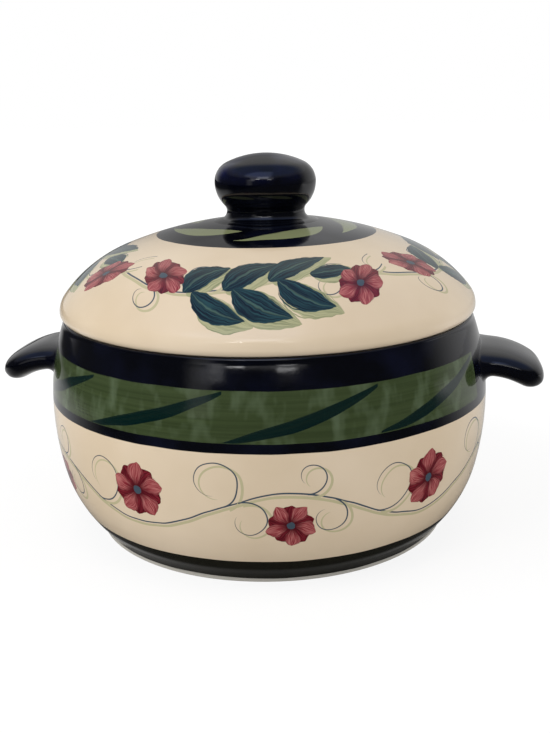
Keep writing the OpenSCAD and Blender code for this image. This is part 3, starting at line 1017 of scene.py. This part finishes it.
def pale_floor():
    """A plain white sweep that keeps a soft shadow. Gloss mirrors it with painted shade, pale behind and
    dim before, and a painted ring of light round the foot.
    """
    mesh = bpy.data.meshes.new("floor")
    half = 6.0
    corners = [(-half, -half, 0), (half, -half, 0), (half, half, 0), (-half, half, 0)]
    mesh.from_pydata(corners, [], [(0, 1, 2, 3)])
    floor = new_object("floor", mesh)
    paper, tree = new_material("white_paper_sweep")
    mesh.materials.append(paper)
    spot = add(tree, COORDS).outputs["Object"]
    across, before = as_seen(tree, spot)
    # Painted shade on the paper, seen only in gloss, with places in metres: pale behind, dim before, and
    # dimmer on the far left
    mirrored = add(tree, RANGE, before, -0.12, 0.1, 0.62, 0.04, **SOFT)
    edge = add(tree, RANGE, across, -0.7, -0.25, 0.05, **SOFT)
    mirrored = add(tree, "MULTIPLY", mirrored, edge)
    # A painted ring of light on the paper round the foot, seen only in gloss, which the foot's dark band
    # mirrors as a sheen
    ring_r = foot_r + 1.9
    core = 0.4
    blur = 2.0
    away = add(tree, VECTOR, spot, operation="LENGTH")
    ring = gap(tree, away, ring_r * MM)
    ring = add(tree, RANGE, ring, core * MM, (core + blur) * MM, 1.0, 0.0, **SOFT)
    painted_ring_level = add(tree, RANGE, before, 0.055, 0.095, 0.5, 0.16)
    mirrored = add(tree, "MULTIPLY_ADD", ring, painted_ring_level, mirrored)
    glossy = add(tree, "ShaderNodeLightPath").outputs["Is Glossy Ray"]
    paper_shade = 0.7
    shade = add(tree, MIX, glossy, paper_shade, mirrored)
    lit = add(tree, "ShaderNodeBsdfDiffuse", {"Color": shade})
    # To the eye the paper fades from its own shade near the dish to plain white
    white = add(tree, "ShaderNodeEmission", {"Color": (1, 1, 1, 1), "Strength": 1.1})
    fade = add(tree, RANGE, away, 0.14, 0.4, 0.78, **SOFT)
    shown = add(tree, "ShaderNodeMixShader", fade, lit, white)
    surface = add(tree, "ShaderNodeMixShader", seen_share(tree), lit, shown)
    add(tree, "ShaderNodeOutputMaterial", {"Surface": surface})


def studio_world():
    """Soft light from all round, white to the eye. Gloss mirrors it pale behind the dish, and before it
    as a dim room with two window panes, which draw thin glints on the rims."""
    world = bpy.data.worlds.new("studio")
    bpy.context.scene.world = world
    world.use_nodes = True
    tree = world.node_tree
    tree.nodes.clear()
    way = add(tree, COORDS).outputs["Generated"]
    across, front = as_seen(tree, way)
    upward = add(tree, SPLIT, way).outputs["Z"]
    # Pale behind and to the left, but for a dim strip near the middle and overhead, and a faint ceiling
    side = add(tree, "MULTIPLY_ADD", across, -0.3, front)
    behind = add(tree, RANGE, side, -0.75, -0.2, 0.56, 0.04, **SOFT)
    aside = gap(tree, across, -0.08)
    aside = add(tree, RANGE, aside, 0.08, 0.22, 0.55, **SOFT)
    behind = add(tree, "MULTIPLY", behind, aside)
    overhead = add(tree, RANGE, upward, 0.5, 0.75, 1.0, 0.2)
    room = add(tree, "MULTIPLY", behind, overhead)
    ceiling = add(tree, RANGE, upward, 0.45, 0.75)
    room = add(tree, "MULTIPLY_ADD", ceiling, 0.5, room)
    # Bright patches before the dish: across, up, half width, half height, blur and strength
    patches = (
        (-0.28, 0.43, 0.09, 0.035, 0.03, 8.0),  # left pane
        (0.16, 0.385, 0.09, 0.03, 0.025, 5.5),  # right pane
        (-0.1, 0.48, 0.44, 0.11, 0.05, 0.6),  # wall round the panes
        (-0.5, 0.33, 0.14, 0.12, 0.12, 0.4),  # doorway
        (-0.435, 0.36, 0.09, 0.1, 0.07, 0.9),  # light in the doorway
        (-0.07, 0.55, 0.24, 0.13, 0.1, 2.0),  # wall above the panes
        (-0.2, 0.76, 0.5, 0.26, 0.15, 0.9),  # ceiling
        (-0.57, 0.12, 0.13, 0.3, 0.1, 0.35),  # low wall on the left
    )
    for x, z, half_w, half_h, blur, strength in patches:
        pane = strength
        for value, middle, half in ((across, x, half_w), (upward, z, half_h), (front, 1.0, 0.7)):
            off = gap(tree, value, middle)
            inside = add(tree, RANGE, off, half, half - blur, **SOFT)
            pane = add(tree, "MULTIPLY", inside, pane)
        room = add(tree, "ADD", room, pane)
    glossy = add(tree, "ShaderNodeLightPath").outputs["Is Glossy Ray"]
    room_light = 0.7
    mirrored = add(tree, MIX, glossy, room_light, room)
    strength = add(tree, MIX, seen_share(tree), mirrored, 1.0)
    # Gloss mirrors the ceiling bluer, but for what is far behind
    sky = add(tree, RANGE, front, -0.6, -0.3)
    sky = add(tree, "MULTIPLY", sky, ceiling)
    sky = add(tree, "MULTIPLY", sky, glossy)
    tint = add(tree, MIX, sky, (1, 1, 1, 1), SKY_BLUE, **COLOURS)
    light = add(tree, "ShaderNodeBackground", {"Color": tint, "Strength": strength})
    add(tree, "ShaderNodeOutputWorld", {"Surface": light})


def softbox(name, place, size, watts):
    """A soft square lamp that faces the dish. It lights, but gloss doesn't mirror it."""
    lamp = bpy.data.lights.new(name, "AREA")
    lamp.size = size
    lamp.energy = watts
    holder = new_object(name, lamp)
    holder.location = place
    holder.visible_glossy = False
    towards = Vector((0, 0, belly_z * MM)) - Vector(place)
    holder.rotation_euler = towards.to_track_quat("-Z", "Y").to_euler()


def photo_camera():
    """The picture's camera, turned, raised and rolled about its target."""
    turn, rise, roll = (radians(angle) for angle in (camera_turn, camera_height, camera_roll))
    back = Vector((sin(turn) * cos(rise), -cos(turn) * cos(rise), sin(rise)))
    level = Vector((cos(turn), sin(turn), 0))
    upright = back.cross(level)
    right = level * cos(roll) - upright * sin(roll)
    up = back.cross(right)
    target = Vector((0, 0, target_z)) + level * target_shift
    axes = Matrix((right, up, back)).transposed().to_4x4()
    lens_data = bpy.data.cameras.new("camera")
    lens_data.sensor_fit = "HORIZONTAL"
    lens_data.sensor_width = sensor_w
    lens_data.lens = lens
    lens_data.clip_start = 0.01
    camera = new_object("camera", lens_data)
    camera.matrix_world = Matrix.Translation((target + back * camera_distance) * MM) @ axes
    bpy.context.scene.camera = camera


pale_floor()
studio_world()
softbox("key_softbox", (-1.05, -0.75, 0.95), 1.2, 13.5)
softbox("fill_softbox", (1.25, -0.05, 0.35), 1.0, 5)
photo_camera()
bpy.context.scene.view_settings.view_transform = "Standard"
